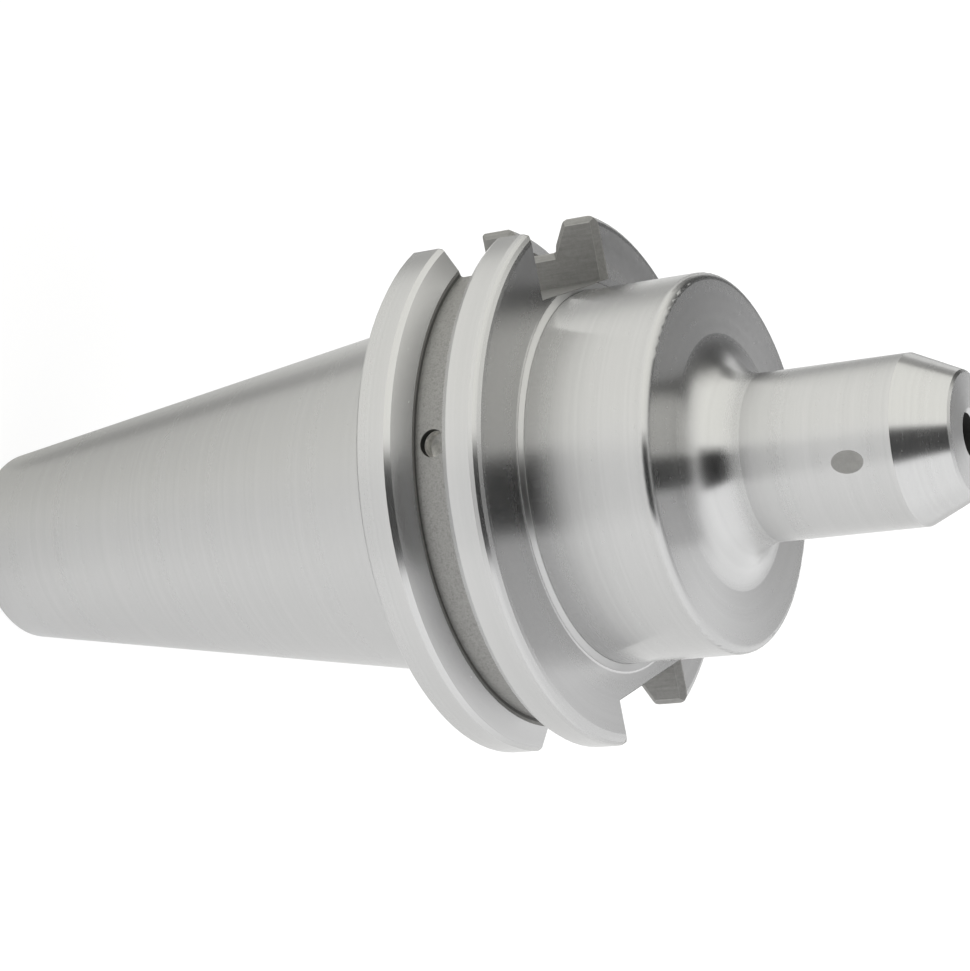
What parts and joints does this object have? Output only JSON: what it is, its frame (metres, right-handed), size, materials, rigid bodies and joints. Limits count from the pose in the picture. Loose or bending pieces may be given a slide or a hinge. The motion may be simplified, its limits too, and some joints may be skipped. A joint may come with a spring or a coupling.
{
  "type": "side lock end mill holder",
  "caption": "Steel end mill holder with a tapered shank, a grooved flange with drive key slots, a collar, and a slim nose whose bore is locked by a side set screw.",
  "frame": {"origin": "centre of the gage line, the 44.45 mm circle of the shank's cone, on the holder's axis", "axes": "+Z along the axis from the small end to the nose, +Y the way the side lock screw backs out, +X towards the drive key slot with the shallow floor; the part stands on its small end"},
  "size_m": [0.061, 0.0634, 0.1318],
  "materials": {
    "ground_steel": "fine turned and ground",
    "black_oxide_steel": "black oxide"
  },
  "bodies": {
    "holder": {"holder_body": "ground_steel"},
    "lock_screw": {"side_lock_screw": "black_oxide_steel"}
  },
  "joints": [
    {"name": "lock_screw_travel", "type": "slide", "parent": "holder", "child": "lock_screw", "axis": [0, 1, 0], "range_m": [-0.0007, 0.004]}
  ]
}
